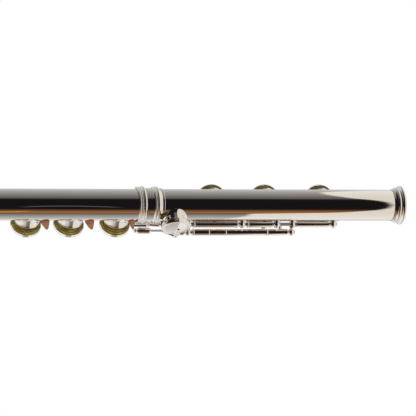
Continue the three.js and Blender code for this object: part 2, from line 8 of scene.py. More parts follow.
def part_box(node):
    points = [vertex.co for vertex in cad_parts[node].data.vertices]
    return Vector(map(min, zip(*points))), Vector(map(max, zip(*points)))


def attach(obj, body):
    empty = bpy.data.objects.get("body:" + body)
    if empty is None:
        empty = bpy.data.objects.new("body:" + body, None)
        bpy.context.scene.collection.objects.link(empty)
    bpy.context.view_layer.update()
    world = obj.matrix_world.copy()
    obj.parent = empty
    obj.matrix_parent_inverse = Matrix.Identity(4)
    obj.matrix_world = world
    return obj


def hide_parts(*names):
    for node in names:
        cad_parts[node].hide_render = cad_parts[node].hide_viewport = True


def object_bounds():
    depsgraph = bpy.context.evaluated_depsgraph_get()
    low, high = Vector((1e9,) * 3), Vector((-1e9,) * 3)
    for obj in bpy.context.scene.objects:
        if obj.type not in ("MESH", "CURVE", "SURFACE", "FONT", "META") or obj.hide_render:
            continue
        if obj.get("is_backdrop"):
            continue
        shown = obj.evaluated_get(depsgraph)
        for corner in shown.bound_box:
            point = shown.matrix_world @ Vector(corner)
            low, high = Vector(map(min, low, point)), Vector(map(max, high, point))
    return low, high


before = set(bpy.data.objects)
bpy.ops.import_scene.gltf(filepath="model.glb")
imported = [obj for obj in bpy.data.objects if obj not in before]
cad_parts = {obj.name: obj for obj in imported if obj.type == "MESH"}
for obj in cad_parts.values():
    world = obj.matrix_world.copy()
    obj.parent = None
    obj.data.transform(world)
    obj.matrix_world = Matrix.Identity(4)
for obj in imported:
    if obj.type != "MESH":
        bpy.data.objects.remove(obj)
CAD_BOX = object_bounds()

# ------------------------------------------------------------------ frame
# Everything below is drawn in millimetres about the tube's axis, with x = 0 at the mouth of the foot's receiver,
# and moved into the row frame from the box of the foot's end ring.
_lo, _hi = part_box("foot_end_ring")
OX = _hi[0] * 1000 - 175.0
OY = (_lo[1] + _hi[1]) * 500
OZ = (_lo[2] + _hi[2]) * 500
RAD = math.pi / 180

TUBE_R, BORE_R, RIM = 9.9, 9.45, 13.0
FOOT_END, BODY_TOP, BARREL_TOP, HEAD_TENON = 175.0, -303.0, -350.0, -308.3
EMB, CROWN = -474.0, -533.0
MAIN, TRILL, THUMB, GSHARP = (148, 14.2), (172, 14.4), (318, 14.4), (314, 14.2)
FOOT_IN, FOOT_OUT = (75, 13.2), (75, 18.8)
HINGE_R, STEEL_R = 2.05, 1.0

HOLES = {
    "e": (-11.0, 90, 7.1, 9.7), "f": (-40.6, 90, 7.1, 9.7), "f_sharp": (-68.0, 90, 7.1, 9.7), "g": (-98.4, 90, 6.9, 9.5),
    "g_vent": (-123.0, 90, 6.7, 9.0), "a": (-146.5, 90, 6.7, 9.0), "b_flat": (-169.0, 90, 6.6, 8.9), "b": (-191.0, 90, 6.6, 8.9),
    "c": (-212.0, 262, 6.2, 8.4), "g_sharp": (-123.0, 14, 6.0, 8.2), "c_sharp": (-237.0, 90, 3.4, 5.4),
    "d_trill": (-252.0, 112, 3.6, 5.6), "d_sharp_trill": (-266.0, 112, 3.6, 5.6),
}
FOOT_HOLES = {"d_sharp": (24.0, 25, 6.1, 9.0), "d": (53.2, 161, 6.4, 10.2), "c_sharp": (88.1, 161, 6.4, 10.2), "c": (124.8, 161, 6.4, 10.2)}


def at(phi, r):
    return (r * math.cos(phi * RAD), r * math.sin(phi * RAD))


def polar(x, phi, r):
    y, z = at(phi, r)
    return Vector((x, y, z))


# ------------------------------------------------------------------ mesh building
class Shape:
    def __init__(self):
        self.v, self.f, self.m = [], [], []
        self.mat = 0

    def add(self, verts, faces, flip=False):
        n = len(self.v)
        self.v.extend(Vector(p) for p in verts)
        for f in faces:
            f = [i + n for i in f]
            self.f.append(f[::-1] if flip else f)
            self.m.append(self.mat)
        return self

    def grid(self, rows, closed_u=True, closed_v=False, flip=False):
        """rows of equally many points; u runs along a row."""
        n, k = len(rows), len(rows[0])
        verts = [p for r in rows for p in r]
        faces = []
        for i in range(n if closed_v else n - 1):
            for j in range(k if closed_u else k - 1):
                a, b = i * k + j, i * k + (j + 1) % k
                c, d = ((i + 1) % n) * k + (j + 1) % k, ((i + 1) % n) * k + j
                faces.append([a, b, c, d])
        return self.add(verts, faces, flip)

    def lathe(self, prof, seg, frame_, closed=False):
        """prof of (r, h) turned about the third axis of frame_; ends on the axis are capped by a point."""
        rows = []
        for r, h in prof:
            rows.append([frame_ @ Vector((r * math.cos(2 * math.pi * j / seg), r * math.sin(2 * math.pi * j / seg), h)) for j in range(seg)])
        n = len(self.v)
        verts = [p for r in rows for p in r]
        faces = []
        m = len(rows)
        for i in range(m if closed else m - 1):
            i2 = (i + 1) % m
            if prof[i][0] < 1e-6 and prof[i2][0] < 1e-6:
                continue
            for j in range(seg):
                a, b, c, d = i * seg + j, i * seg + (j + 1) % seg, i2 * seg + (j + 1) % seg, i2 * seg + j
                if prof[i][0] < 1e-6:
                    faces.append([a, c, d])
                elif prof[i2][0] < 1e-6:
                    faces.append([a, b, c])
                else:
                    faces.append([a, b, c, d])
        return self.add(verts, faces)

    def turned(self, prof, seg=96, closed=True, centre=(0, 0)):
        """prof of (x, r) turned about a line along X."""
        fr = Matrix(((0, 0, 1, 0), (1, 0, 0, centre[0]), (0, 1, 0, centre[1]), (0, 0, 0, 1)))
        return self.lathe([(r, x) for x, r in prof], seg, fr, closed)

    def radial(self, prof, x, phi, seg=64, closed=False):
        return self.lathe(prof, seg, stand(x, phi), closed)

    def bar(self, a, b, ra, rb, seg=28, cap=0.25):
        a, b = Vector(a), Vector(b)
        d = (b - a)
        L = d.length
        z = d.normalized()
        x = z.orthogonal().normalized()
        y = z.cross(x)
        fr = Matrix(((x.x, y.x, z.x, a.x), (x.y, y.y, z.y, a.y), (x.z, y.z, z.z, a.z), (0, 0, 0, 1)))
        c = min(cap, ra * 0.5, rb * 0.5, L * 0.3)
        return self.lathe([(0, 0), (ra - c, 0), (ra - c * 0.3, c * 0.3), (ra, c), (rb, L - c), (rb - c * 0.3, L - c * 0.3), (rb - c, L), (0, L)], seg, fr)

    def ball(self, p, r, seg=32, squash=1.0):
        fr = Matrix.Translation(Vector(p)) @ Matrix(((0, 0, 1, 0), (1, 0, 0, 0), (0, 1, 0, 0), (0, 0, 0, 1)))
        n = 14
        return self.lathe([(r * math.sin(math.pi * i / n), -r * squash * math.cos(math.pi * i / n)) for i in range(n + 1)], seg, fr)

    def prism(self, pts, p0, d):
        """outline of 3-D points and the same moved by d."""
        pts = [Vector(p) for p in pts]
        d = Vector(d)
        n = len(pts)
        nrm = Vector((0, 0, 0))
        for i in range(n):
            nrm += pts[i].cross(pts[(i + 1) % n])
        flip = nrm.dot(d) < 0
        verts = pts + [p + d for p in pts]
        faces = [list(range(n))[::-1], [i + n for i in range(n)]]
        faces += [[i, (i + 1) % n, (i + 1) % n + n, i + n] for i in range(n)]
        return self.add(verts, faces, flip)

    def moved(self, m):
        self.v = [m @ p for p in self.v]
        return self

    def join(self, other):
        n = len(self.v)
        self.v.extend(other.v)
        self.f.extend([[i + n for i in f] for f in other.f])
        self.m.extend(other.m)
        return self


def stand(x, phi):
    wy, wz = at(phi, 1)
    u, w = Vector((1, 0, 0)), Vector((0, wy, wz))
    v = w.cross(u)
    return Matrix(((u.x, v.x, w.x, x), (u.y, v.y, w.y, 0), (u.z, v.z, w.z, 0), (0, 0, 0, 1)))


def turn(line, deg):
    y, z = at(*line)
    t = Matrix.Translation(Vector((0, y, z)))
    return t @ Matrix.Rotation(deg * RAD, 4, "X") @ t.inverted()


def smooth_path(pts, n=6):
    """Catmull-Rom through rows of numbers."""
    out = []
    P = [pts[0]] + list(pts) + [pts[-1]]
    for i in range(1, len(P) - 2):
        for k in range(n):
            t = k / n
            out.append([0.5 * ((2 * b) + (c - a) * t + (2 * a - 5 * b + 4 * c - d) * t * t + (3 * b - a - 3 * c + d) * t ** 3) for a, b, c, d in zip(P[i - 1], P[i], P[i + 1], P[i + 2])])
    out.append(list(pts[-1]))
    return out


def strip(shape, stations, x0, x1, taper=None):
    """A bent flat arm: (y, z, half thickness) stations, as wide as x0 to x1 and narrowing to taper at its tip."""
    st = smooth_path(stations)
    mid, half = (x0 + x1) / 2, (x1 - x0) / 2
    rows = []
    n = len(st)
    for i, (y, z, h) in enumerate(st):
        a, b = st[max(i - 1, 0)], st[min(i + 1, n - 1)]
        ty, tz = b[0] - a[0], b[1] - a[1]
        L = math.hypot(ty, tz) or 1
        ny, nz = -tz / L, ty / L
        w = half * (1 if taper is None else 1 + (taper - 1) * (i / (n - 1)))
        ring = []
        K = 16
        for k in range(K):
            t = 2 * math.pi * k / K
            c, s = math.cos(t), math.sin(t)
            cx = math.copysign(abs(c) ** 0.5, c) * w
            cn = math.copysign(abs(s) ** 0.5, s) * h
            ring.append((mid + cx, y + ny * cn, z + nz * cn))
        rows.append(ring)
    shape.grid(rows)
    k = len(rows[0])
    shape.add(rows[0], [list(range(k))[::-1]])
    shape.add(rows[-1], [list(range(k))])
    return shape


def plate(shape, outline, x, phi, h, thick, dome=0.0, edge=0.32, lean=0.0):
    """A flat or slightly crowned plate with rounded edges: outline of (u, v) at height h over (x, phi)."""
    fr = stand(x, phi) @ Matrix.Translation((0, 0, h)) @ Matrix.Rotation(lean * RAD, 4, "X") @ Matrix.Translation((0, 0, -h))
    cu = sum(p[0] for p in outline) / len(outline)
    cv = sum(p[1] for p in outline) / len(outline)
    o = []
    n = len(outline)
    for i in range(n):
        a, b, c, d = outline[i - 1], outline[i], outline[(i + 1) % n], outline[(i + 2) % n]
        for k in range(5):
            t = k / 5
            o.append([0.5 * ((2 * q) + (r - p) * t + (2 * p - 5 * q + 4 * r - s) * t * t + (3 * q - p - 3 * r + s) * t ** 3) for p, q, r, s in zip(a, b, c, d)])

    def ring(f, inset, z):
        out = []
        for u, v in o:
            du, dv = u - cu, v - cv
            L = math.hypot(du, dv) or 1
            s = max(0, 1 - inset / L) * f
            out.append(fr @ Vector((cu + du * s, cv + dv * s, z)))
        return out

    rows = [ring(0.02, 0, h), ring(0.5, 0, h), ring(1, edge, h), ring(1, edge * 0.3, h + edge * 0.3), ring(1, 0, h + edge), ring(1, 0, h + thick - edge), ring(1, edge * 0.3, h + thick - edge * 0.3), ring(1, edge, h + thick)]
    for f in (0.85, 0.65, 0.45, 0.25, 0.02):
        rows.append(ring(f, 0, h + thick + dome * (1 - f * f)))
    shape.grid(rows)
    return shape


def strap(shape, x0, x1, phi, half, r0=TUBE_R - 0.05, r1=TUBE_R + 0.95):
    """A curved rib soldered along the tube, with softened edges."""
    N = 20
    rows = []
    e = 0.3
    for x, k in ((x0, 1), (x0 + e * 0.3, 0.3), (x0 + e, 0), (x1 - e, 0), (x1 - e * 0.3, 0.3), (x1, 1)):
        ring = []
        for i in range(N + 1):
            a = phi - half + 2 * half * i / N
            s = abs(2 * i / N - 1)
            drop = e if s > 0.999 else (e * 0.3 if s > 0.88 else 0)
            ring.append(polar(x, a, r1 - max(drop, e * k)))
        for i in range(N, -1, -1):
            ring.append(polar(x, phi - half + 2 * half * i / N, r0))
        rows.append(ring)
    shape.grid(rows, flip=True)
    k = len(rows[0])
    shape.add(rows[0], [[i, i + 1, k - 2 - i, k - 1 - i] for i in range(N)], flip=True)
    shape.add(rows[-1], [[k - 1 - i, k - 2 - i, i + 1, i] for i in range(N)], flip=True)
    return shape


# ------------------------------------------------------------------ materials
def material(name):
    m = bpy.data.materials.new(name)
    m.use_nodes = True
    nt = m.node_tree
    for n in list(nt.nodes):
        nt.nodes.remove(n)
    out = nt.nodes.new("ShaderNodeOutputMaterial")
    sh = nt.nodes.new("ShaderNodeBsdfPrincipled")
    nt.links.new(sh.outputs[0], out.inputs[0])
    return m, nt, sh


def node(nt, kind, inputs=None, **attrs):
    n = nt.nodes.new(kind)
    for k, v in attrs.items():
        setattr(n, k, v)
    for k, v in (inputs or {}).items():
        if isinstance(v, bpy.types.NodeSocket):
            nt.links.new(v, n.inputs[k])
        else:
            n.inputs[k].default_value = v
    return n


def ramp(nt, fac, stops, interp="LINEAR"):
    n = nt.nodes.new("ShaderNodeValToRGB")
    n.color_ramp.interpolation = interp
    el = n.color_ramp.elements
    while len(el) > 1:
        el.remove(el[-1])
    el[0].position, el[0].color = stops[0][0], (*stops[0][1], 1)
    for p, c in stops[1:]:
        e = el.new(p)
        e.color = (*c, 1)
    nt.links.new(fac, n.inputs[0])
    return n.outputs[0]


def lin(r, g=None, b=None):
    if g is None:
        g = b = r
    f = lambda c: (c / 255 / 12.92) if c / 255 <= 0.04045 else ((c / 255 + 0.055) / 1.055) ** 2.4
    return (f(r), f(g), f(b))


def metal(name, tint, rough, tarnish=0.04, hair=0.012, dark=None):
    m, nt, sh = material(name)
    tc = node(nt, "ShaderNodeTexCoord")
    big = node(nt, "ShaderNodeTexNoise", {"Vector": tc.outputs["Object"], "Scale": 60.0, "Detail": 3.0, "Roughness": 0.55})
    fine = node(nt, "ShaderNodeTexNoise", {"Vector": tc.outputs["Object"], "Scale": 900.0, "Detail": 2.0})
    col = ramp(nt, big.outputs["Fac"], [(0.3, tuple(c * (1 - tarnish) for c in tint)), (0.7, tint)])
    nt.links.new(col, sh.inputs["Base Color"])
    sh.inputs["Metallic"].default_value = 1
    mr = node(nt, "ShaderNodeMapRange", {"Value": fine.outputs["Fac"], "From Min": 0.3, "From Max": 0.7, "To Min": rough * 0.8, "To Max": rough * 1.3})
    nt.links.new(mr.outputs[0], sh.inputs["Roughness"])
    # polishing hairlines along the tube and a very slight waviness of hand-polished metal
    mp = node(nt, "ShaderNodeMapping", {"Vector": tc.outputs["Object"], "Scale": (30.0, 900.0, 900.0)})
    lines = node(nt, "ShaderNodeTexNoise", {"Vector": mp.outputs[0], "Scale": 1.0, "Detail": 2.0})
    b = node(nt, "ShaderNodeBump", {"Height": lines.outputs["Fac"], "Strength": hair, "Distance": 0.0001})
    nt.links.new(b.outputs[0], sh.inputs["Normal"])
    return m


SILVER = metal("silver_polished", (0.93, 0.915, 0.895), 0.012, hair=0.006)
SILVER_KEY = metal("silver_keywork", (0.95, 0.93, 0.905), 0.045, 0.03)
STEEL = metal("steel_ground", (0.50, 0.47, 0.44), 0.26, 0.12, 0.1)
BLUED = metal("steel_blued", (0.13, 0.13, 0.17), 0.3, 0.2, 0.1)


def skin_material():
    m, nt, sh = material("pad_skin")
    tc = node(nt, "ShaderNodeTexCoord")
    n1 = node(nt, "ShaderNodeTexNoise", {"Vector": tc.outputs["Object"], "Scale": 220.0, "Detail": 6.0, "Roughness": 0.6})
    n2 = node(nt, "ShaderNodeTexNoise", {"Vector": tc.outputs["Object"], "Scale": 1400.0, "Detail": 3.0})
    col = ramp(nt, n1.outputs["Fac"], [(0.25, lin(84, 72, 26)), (0.5, lin(122, 106, 42)), (0.78, lin(160, 142, 72))])
    nt.links.new(col, sh.inputs["Base Color"])
    sh.inputs["Roughness"].default_value = 0.42
    sh.inputs["Subsurface Weight"].default_value = 0.08
    sh.inputs["Subsurface Radius"].default_value = (0.001, 0.0007, 0.0003)
    b = node(nt, "ShaderNodeBump", {"Height": n2.outputs["Fac"], "Strength": 0.25, "Distance": 0.0002})
    nt.links.new(b.outputs[0], sh.inputs["Normal"])
    return m


def cork_material():
    m, nt, sh = material("cork_cut")
    tc = node(nt, "ShaderNodeTexCoord")
    n1 = node(nt, "ShaderNodeTexNoise", {"Vector": tc.outputs["Object"], "Scale": 420.0, "Detail": 5.0, "Roughness": 0.65})
    vo = node(nt, "ShaderNodeTexVoronoi", {"Vector": tc.outputs["Object"], "Scale": 900.0})
    base = ramp(nt, n1.outputs["Fac"], [(0.25, lin(92, 58, 38)), (0.5, lin(128, 86, 60)), (0.75, lin(158, 112, 84))])
    pits = ramp(nt, vo.outputs["Distance"], [(0.0, (0.35, 0.25, 0.2)), (0.22, (1, 1, 1))])
    mx = node(nt, "ShaderNodeMix", {0: 0.6, 6: base, 7: pits}, data_type="RGBA", blend_type="MULTIPLY")
    nt.links.new(mx.outputs[2], sh.inputs["Base Color"])
    sh.inputs["Roughness"].default_value = 0.85
    b = node(nt, "ShaderNodeBump", {"Height": vo.outputs["Distance"], "Strength": 0.5, "Distance": 0.0003})
    nt.links.new(b.outputs[0], sh.inputs["Normal"])
    return m


def felt_material():
    m, nt, sh = material("felt_edge")
    tc = node(nt, "ShaderNodeTexCoord")
    n1 = node(nt, "ShaderNodeTexNoise", {"Vector": tc.outputs["Object"], "Scale": 1500.0, "Detail": 5.0})
    col = ramp(nt, n1.outputs["Fac"], [(0.3, lin(196, 186, 160)), (0.7, lin(232, 226, 208))])
    nt.links.new(col, sh.inputs["Base Color"])
    sh.inputs["Roughness"].default_value = 0.9
    return m


SKIN, CORK, FELT = skin_material(), cork_material(), felt_material()

PIECES = []


def make(name, shape, body, mats, cad=(), angle=35, bevel=0.0):
    me = bpy.data.meshes.new(name)
    me.from_pydata([((p.x + OX) / 1000, (p.y + OY) / 1000, (p.z + OZ) / 1000) for p in shape.v], [], shape.f)
    for mt in mats:
        me.materials.append(mt)
    me.polygons.foreach_set("material_index", shape.m)
    bm = bmesh.new()
    bm.from_mesh(me)
    bmesh.ops.remove_doubles(bm, verts=bm.verts, dist=2e-7)
    bmesh.ops.recalc_face_normals(bm, faces=bm.faces)
    bm.to_mesh(me)
    bm.free()
    me.shade_smooth()
    me.set_sharp_from_angle(angle=angle * RAD)
    ob = bpy.data.objects.new(name, me)
    bpy.context.scene.collection.objects.link(ob)
    if bevel:
        b = ob.modifiers.new("edge", "BEVEL")
        b.width, b.segments, b.limit_method, b.angle_limit = bevel / 1000, 2, "ANGLE", 40 * RAD
    wn = ob.modifiers.new("normals", "WEIGHTED_NORMAL")
    wn.keep_sharp, wn.weight = True, 90
    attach(ob, body)
    if cad:
        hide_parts(*cad)
    PIECES.append(ob)
    return ob


# ------------------------------------------------------------------ tubes
def bead(x, r, w, h, n=10):
    """Points over a half-round bead w wide and h high standing on radius r, left to right."""
    return [(x - w / 2 + w * (1 - math.cos(math.pi * i / n)) / 2, r + h * math.sin(math.pi * i / n)) for i in range(n + 1)]


def tube_with_holes(x0, x1, holes, seg=160):
    s = Shape()
    xs = []
    x = x0
    while x < x1 - 0.6:
        xs.append(x)
        x += 1.0
    xs.append(x1)

    def keep(x, phi_deg, r):
        p = polar(x, phi_deg, r)
        for hx, hphi, hr, _ in holes.values():
            q = stand(hx, hphi).inverted() @ p
            if q.z > 0 and math.hypot(q.x, q.y) < hr - 0.15:
                return False
        return True

    for r, flip in ((TUBE_R, False), (BORE_R, True)):
        verts = [polar(x, 360 * j / seg, r) for x in xs for j in range(seg)]
        faces = []
        for i in range(len(xs) - 1):
            for j in range(seg):
                xm, pm = (xs[i] + xs[i + 1]) / 2, 360 * (j + 0.5) / seg
                if keep(xm, pm, r):
                    faces.append([i * seg + j, (i + 1) * seg + j, (i + 1) * seg + (j + 1) % seg, i * seg + (j + 1) % seg])
        s.add(verts, faces, flip=not flip)
    for x in (x0, x1):
        s.grid([[polar(x, 360 * j / seg, r) for j in range(seg)] for r in (BORE_R, TUBE_R)])
    # drawn chimneys: fillet at the foot, thin wall, rolled rim
    for hx, hphi, hr, _ in holes.values():
        fr = stand(hx, hphi)
        ro = hr + 0.5
        fil = 1.3
        K = 72
        rows = []
        steps = []
        for a in range(90, -1, -10):
            steps.append(("f", ro + fil * (1 - math.cos(a * RAD)), fil * (1 - math.sin(a * RAD))))
        for k in (0.25, 0.5, 0.75):
            steps.append(("w", ro, k))
        for a in range(-60, 181, 15):
            steps.append(("r", ro - 0.18 + 0.5 * math.cos(a * RAD), RIM - 0.5 + 0.5 * math.sin(a * RAD)))
        steps.append(("r", hr, RIM - 0.9))
        steps.append(("i", hr, 0))
        for kind, rho, h in steps:
            row = []
            for j in range(K):
                t = 2 * math.pi * j / K
                u, v = rho * math.cos(t), rho * math.sin(t)
                if kind == "f":
                    z = math.sqrt(max(TUBE_R ** 2 - v * v, 0)) + h
                    z = min(z, RIM - 1.1)
                elif kind == "w":
                    z0 = math.sqrt(max(TUBE_R ** 2 - v * v, 0)) + fil
                    z0 = min(z0, RIM - 1.1)
                    z = z0 + (RIM - 1.0 - z0) * h
                elif kind == "r":
                    z = h
                else:
                    z = math.sqrt(max(BORE_R ** 2 - v * v, 0)) - 0.05
                row.append(fr @ Vector((u, v, z)))
            rows.append(row)
        s.grid(rows)
    return s


# ------------------------------------------------------------------ cups and pads
def cup_shape(h, small=False):
    x, phi, hr, c = h
    s = Shape()
    R = RIM
    prof = [(0, R + 2.75), (c - 0.75, R + 2.75), (c - 0.5, R + 2.5), (c - 0.5, R + 0.95), (c - 0.4, R + 0.8), (c - 0.1, R + 0.8), (c, R + 0.95), (c, R + 2.75),
            (c - 0.08, R + 3.05), (c - 0.3, R + 3.3), (c - 0.62, R + 3.4), (c - 0.95, R + 3.36), (c - 1.3, R + 3.2), (c - 1.75, R + 3.16), (c - 2.4, R + 3.24), (c * 0.55, R + 3.5), (c * 0.3, R + 3.66), (0, R + 3.72)]
    s.radial(prof, x, phi, 72)
    return s


def pad_shape(h):
    x, phi, hr, c = h
    s = Shape()
    p, R = c - 0.62, RIM
    s.mat = 0
    prof = [(0, R + 0.35), (hr - 2.2, R + 0.3), (hr - 0.9, R + 0.12), (hr - 0.35, R + 0.06), (hr - 0.05, R + 0.32), (hr + 0.55, R + 0.32), (hr + 0.85, R + 0.06), (p - 0.7, R + 0.1), (p - 0.25, R + 0.3), (p - 0.03, R + 0.75), (p, R + 1.3), (p, R + 2.6), (0, R + 2.6)]
    s.radial(prof, x, phi, 72)
    if hr > 5:
        # washer and screw that hold the pad
        s.mat = 1
        s.radial([(0, R + 0.2), (2.6, R + 0.2), (2.9, R + 0.3), (3.0, R + 0.45), (3.0, R + 0.6), (0, R + 0.6)][::-1], x, phi, 40)
        s.radial([(0, R - 0.25), (1.1, R - 0.2), (1.5, R - 0.02), (1.6, R + 0.3), (0, R + 0.3)][::-1], x, phi, 28)
    return s


def arm(shape, line, h, x=None, reach=0.15, w=1.5):
    x = h[0] if x is None else x
    _, phi, hr, c = h
    ay, az = at(*line)
    side = 1 if math.sin((line[0] - phi) * RAD) > 0 else -1
    ny, nz = at(phi, 1)
    ty, tz = at(phi + 90 * side, 1)
    p = lambda r, up: (ny * (RIM + up) + ty * r, nz * (RIM + up) + tz * r)
    st = [(ay, az, 1.5), (*p(c + 0.9, 2.0), 1.1), (*p(c - 0.9, 3.55), 0.75), (*p(c * 0.55, 3.75), 0.55), (*p(c * reach, 3.85), 0.35)]
    strip(shape, st, x - w, x + w, taper=0.45)
    return shape


def hinge(shape, line, x0, x1, r=HINGE_R):
    y, z = at(*line)
    e = 0.22
    shape.turned([(x0, 1.2), (x0, r - e), (x0 + e * 0.3, r - e * 0.3), (x0 + e, r), (x1 - e, r), (x1 - e * 0.3, r - e * 0.3), (x1, r - e), (x1, 1.2)], 40, True, (y, z))
    return shape


def sleeve_bands(shape, line, xs, r=HINGE_R + 0.12, w=1.1):
    y, z = at(*line)
    for x in xs:
        shape.turned([(x - w / 2, 1.3), *[(a, b) for a, b in bead(x, r - 0.15, w, 0.28, 6)], (x + w / 2, 1.3)], 40, True, (y, z))
    return shape


def bar_p(shape, a, b, ra, rb):
    shape.bar(polar(*a), polar(*b), ra, rb, 24)
    return shape


SK = [SILVER_KEY]
H, F = HOLES, FOOT_HOLES


def key(name, line, holes, x0, x1, open_, body=None, more=None, pads=None, core=False, arms=None):
    s = Shape()
    if not core:
        hinge(s, line, x0, x1)
    for i, h in enumerate(holes):
        s.join(cup_shape(h))
        a = (arms or {}).get(i, {})
        arm(s, line, h, **a)
    if more:
        more(s)
    s.moved(turn(line, open_))
    make(name + "_metal", s, body or name, SK, (name,))
    for pname, h in pads or []:
        ps = pad_shape(h).moved(turn(line, open_))
        make(pname + "_skin", ps, body or name, [SKIN, SILVER_KEY], (pname,))


UP, FO = 12, -10
key("d_key", MAIN, [H["e"]], -26.6, -7.3, UP, pads=[("d_key_pad", H["e"])])
key("e_key", MAIN, [H["f"]], -54.5, -27.1, UP, pads=[("e_key_pad", H["f"])])
key("f_key", MAIN, [H["f_sharp"]], -85.0, -60.3, UP, pads=[("f_key_pad", H["f_sharp"])])
key("f_sharp_key", MAIN, [H["g"]], -108.5, -85.6, UP, pads=[("f_sharp_key_pad", H["g"])])
key("g_key", MAIN, [H["g_vent"], H["a"]], -158.2, -114.3, UP, pads=[("g_key_lower_pad", H["g_vent"]), ("g_key_upper_pad", H["a"])])
key("b_flat_key", MAIN, [H["b_flat"]], -179.5, -158.8, UP, pads=[("b_flat_key_pad", H["b_flat"])])
key("a_key", MAIN, [H["b"]], -200.4, -180.1, UP, pads=[("a_key_pad", H["b"])])


def finger_touch(s):
    s.radial([(0, RIM + 1.9), (5.9, RIM + 1.9), (6.3, RIM + 2.0), (6.4, RIM + 2.3), (6.4, RIM + 2.8), (6.2, RIM + 3.1), (5.6, RIM + 3.25), (4.6, RIM + 3.05), (2.5, RIM + 2.9), (0, RIM + 2.86)], -214.5, 90, 64)
    arm(s, MAIN, (-214.5, 90, 6, 6.6), reach=0.3)


key("c_sharp_key", MAIN, [H["c_sharp"]], -240.4, -206.4, 10, more=finger_touch, pads=[("c_sharp_key_pad", H["c_sharp"])])

TOUCH = [(-3.4, -24.4), (3.4, -24.4), (4.4, -21.6), (4.0, -18.4), (2.0, -15.9), (-2.0, -15.9), (-4.0, -18.4), (-4.4, -21.6)]
TY, TZ = at(*TRILL)


def trill_touch(x):
    def more(s):
        plate(s, TOUCH, x, 90, 6.8, 1.3, 0.12)
        strip(s, [(TY, TZ, 1.5), (-17.6, 3.4, 1.1), (-19.3, 7.1, 0.8)], x - 1.3, x + 1.3)
    return more


key("d_trill_key", TRILL, [H["d_trill"]], -258.8, -53.0, 0, more=trill_touch(-57.4), pads=[("d_trill_pad", H["d_trill"])], arms={0: {"w": 1.2}})


def ds_trill(s):
    trill_touch(-28.4)(s)
    s.bar((-274.5, TY, TZ), (-21.2, TY, TZ), STEEL_R, STEEL_R)
    s.bar((-270.2, TY, TZ), (-259.4, TY, TZ), HINGE_R, HINGE_R)
    s.bar((-52.4, TY, TZ), (-25.4, TY, TZ), HINGE_R, HINGE_R)


key("d_sharp_trill_key", TRILL, [H["d_sharp_trill"]], 0, 0, 0, more=ds_trill, core=True, pads=[("d_sharp_trill_pad", H["d_sharp_trill"])], arms={0: {"w": 1.2}})


def oval(a, b, n=18, u=0, v=0):
    return [(u + a * math.cos(2 * math.pi * i / n), v + b * math.sin(2 * math.pi * i / n)) for i in range(n)]


def g_sharp_more(s):
    gy, gz = at(*GSHARP)
    ty, tz = at(296, 17.6)
    plate(s, oval(10.5, 4.2), -141, 296, 16.0, 1.3, 0.15)
    strip(s, [(gy, gz, 1.5), (ty * 0.98, tz * 0.98, 0.7)], -146, -142.8)


key("g_sharp_key", GSHARP, [H["g_sharp"]], -150.2, -110.8, 0, more=g_sharp_more, pads=[("g_sharp_pad", H["g_sharp"])])


def thumb_more(x, a, b, xa):
    def more(s):
        gy, gz = at(*THUMB)
        plate(s, oval(a, b), x, 268, RIM + 2.6, 1.3, 0.15)
        strip(s, [(gy, gz, 1.5), (*at(295, 17.0), 1.0), (*at(275, RIM + 3.4), 0.6)], xa - 1.3, xa + 1.3)
    return more


key("thumb_b_key", THUMB, [H["c"]], -219.8, -190.2, 9, more=thumb_more(-196.2, 5.6, 7.2, -194.0), pads=[("thumb_key_pad", H["c"])])
key("thumb_b_flat_key", THUMB, [], -189.6, -176.0, 9, more=thumb_more(-183.4, 5.6, 7.6, -183.0))

# foot keys
IY, IZ = at(*FOOT_IN)
OYY, OZZ = at(*FOOT_OUT)


def ds_foot(s):
    plate(s, [(-6.0, -2.6), (-4.6, -3.6), (1.6, -3.5), (3.4, -2.8), (5.8, -1.8), (6.0, 2.0), (4.4, 2.9), (-4.8, 2.9), (-6.0, 2.2)], 5.4, 94, 16.4, 1.3, 0.0, lean=-34)
    bar_p(s, (21.6, 84, 15.4), (10.6, 95, 17.0), 1.25, 1.0)
    strip(s, [(IY, IZ, 1.5), (*at(84, 15.4), 1.1)], 20.8, 23.0)


key("d_sharp_key", FOOT_IN, [F["d_sharp"]], 20.7, 32.7, 0, more=ds_foot, pads=[("d_sharp_pad", F["d_sharp"])], arms={0: {"x": 26.0}})


def cs_foot(s):
    plate(s, [(-5.6, -1.5), (3.4, -1.7), (5.8, -0.8), (5.8, 2.8), (-4.6, 2.8)], 26.8, 106, 15.1, 1.1, 0.0, lean=-44)
    bar_p(s, (39.6, 92, 15.6), (30.4, 103, 15.7), 1.2, 0.95)
    strip(s, [(IY, IZ, 1.5), (*at(92, 15.6), 1.1)], 38.4, 41.0)
    sleeve_bands(s, FOOT_IN, (38.9, 67.0))


key("c_sharp_foot_key", FOOT_IN, [F["d"]], 38.0, 67.6, FO, more=cs_foot, pads=[("c_sharp_foot_pad", F["d"])])
key("low_c_key", FOOT_IN, [F["c_sharp"]], 73.4, 90.6, FO, more=lambda s: sleeve_bands(s, FOOT_IN, (74.2,)), pads=[("low_c_pad", F["c_sharp"])], arms={0: {"x": 86.6}})


def b_foot(s):
    strip(s, [(IY, IZ, 1.5), (*at(92, 15.2), 1.1)], 106.8, 109.4)
    bar_p(s, (108.4, 92, 15.2), (96.4, 94, 15.4), 1.1, 1.0)


key("low_b_key", FOOT_IN, [F["c"]], 106.4, 127.9, FO, more=b_foot, pads=[("low_b_pad", F["c"])])


def kicker(s, x):
    strip(s, [(OYY, OZZ, 1.5), (*at(86, 19.2), 1.0), (*at(98, 18.0), 0.8)], x - 1.2, x + 1.2)


def pin(s, phi, r):
    bar_p(s, (21.4, phi, r), (2.8, phi, r), 0.7, 0.7)
    bar_p(s, (4.2, phi, r), (2.6, phi, r), 1.35, 1.35)


